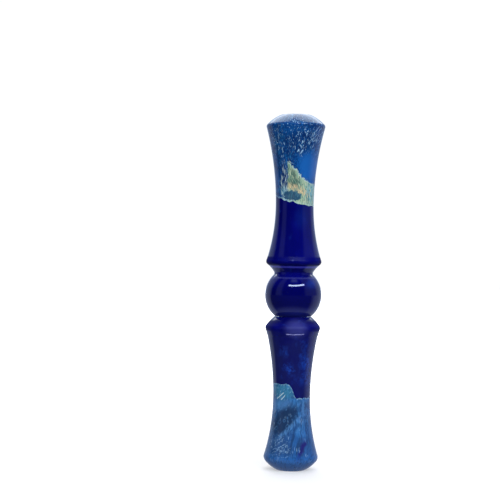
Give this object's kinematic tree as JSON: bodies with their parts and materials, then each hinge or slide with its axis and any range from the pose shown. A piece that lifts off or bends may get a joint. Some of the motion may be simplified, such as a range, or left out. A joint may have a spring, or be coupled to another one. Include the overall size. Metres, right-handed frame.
{
  "type": "duck call",
  "caption": "Turned duck call: a flared barrel pulls off an insert whose tenon carries the toneboard, reeds, cork wedge and O-rings.",
  "frame": {"origin": "centre of the foot ring that the call stands on, at its bell end", "axes": "+Z along the call's axis, from the bell end towards the mouth end; the reeds face -Y"},
  "size_m": [0.0282, 0.0282, 0.1699],
  "materials": {
    "blue_burl": "gloss",
    "blue_resin": "gloss",
    "toneboard_plastic": "satin",
    "reed_film": "satin",
    "cork": "matte",
    "seal_rubber": "satin"
  },
  "bodies": {
    "insert": {"insert_resin_body": "blue_resin", "insert_burl_bell": "blue_burl", "toneboard": "toneboard_plastic"},
    "seal_rings": {"lower_seal_ring": "seal_rubber", "upper_seal_ring": "seal_rubber"},
    "barrel": {"barrel_resin_body": "blue_resin", "barrel_burl_lip": "blue_burl"},
    "long_reed": {"long_reed": "reed_film"},
    "short_reed": {"short_reed": "reed_film"},
    "reed_wedge": {"reed_wedge": "cork"}
  },
  "joints": [
    {"name": "barrel_twist", "type": "hinge", "parent": "insert", "child": "seal_rings", "pos_m": [0, 0, 0.0733], "axis": [0, 0, 1], "continuous": true},
    {"name": "barrel_pull", "type": "slide", "parent": "seal_rings", "child": "barrel", "axis": [0, 0, 1], "range_m": [0, 0.052]},
    {"name": "long_reed_flex", "type": "hinge", "parent": "insert", "child": "long_reed", "pos_m": [0, -0.00217, 0.0957], "axis": [-1, 0, 0], "range_deg": [-0.9, 1.2], "stiffness_Nm_per_rad": 0.006},
    {"name": "short_reed_flex", "type": "hinge", "parent": "insert", "child": "short_reed", "pos_m": [0, -0.00217, 0.0957], "axis": [-1, 0, 0], "range_deg": [-0.9, 1.2], "stiffness_Nm_per_rad": 0.007},
    {"name": "wedge_pull", "type": "slide", "parent": "insert", "child": "reed_wedge", "axis": [0, 0, 1], "range_m": [0, 0.01]}
  ],
  "couplings": [
    {"joint": "short_reed_flex", "follows": "long_reed_flex", "ratio": 1}
  ]
}
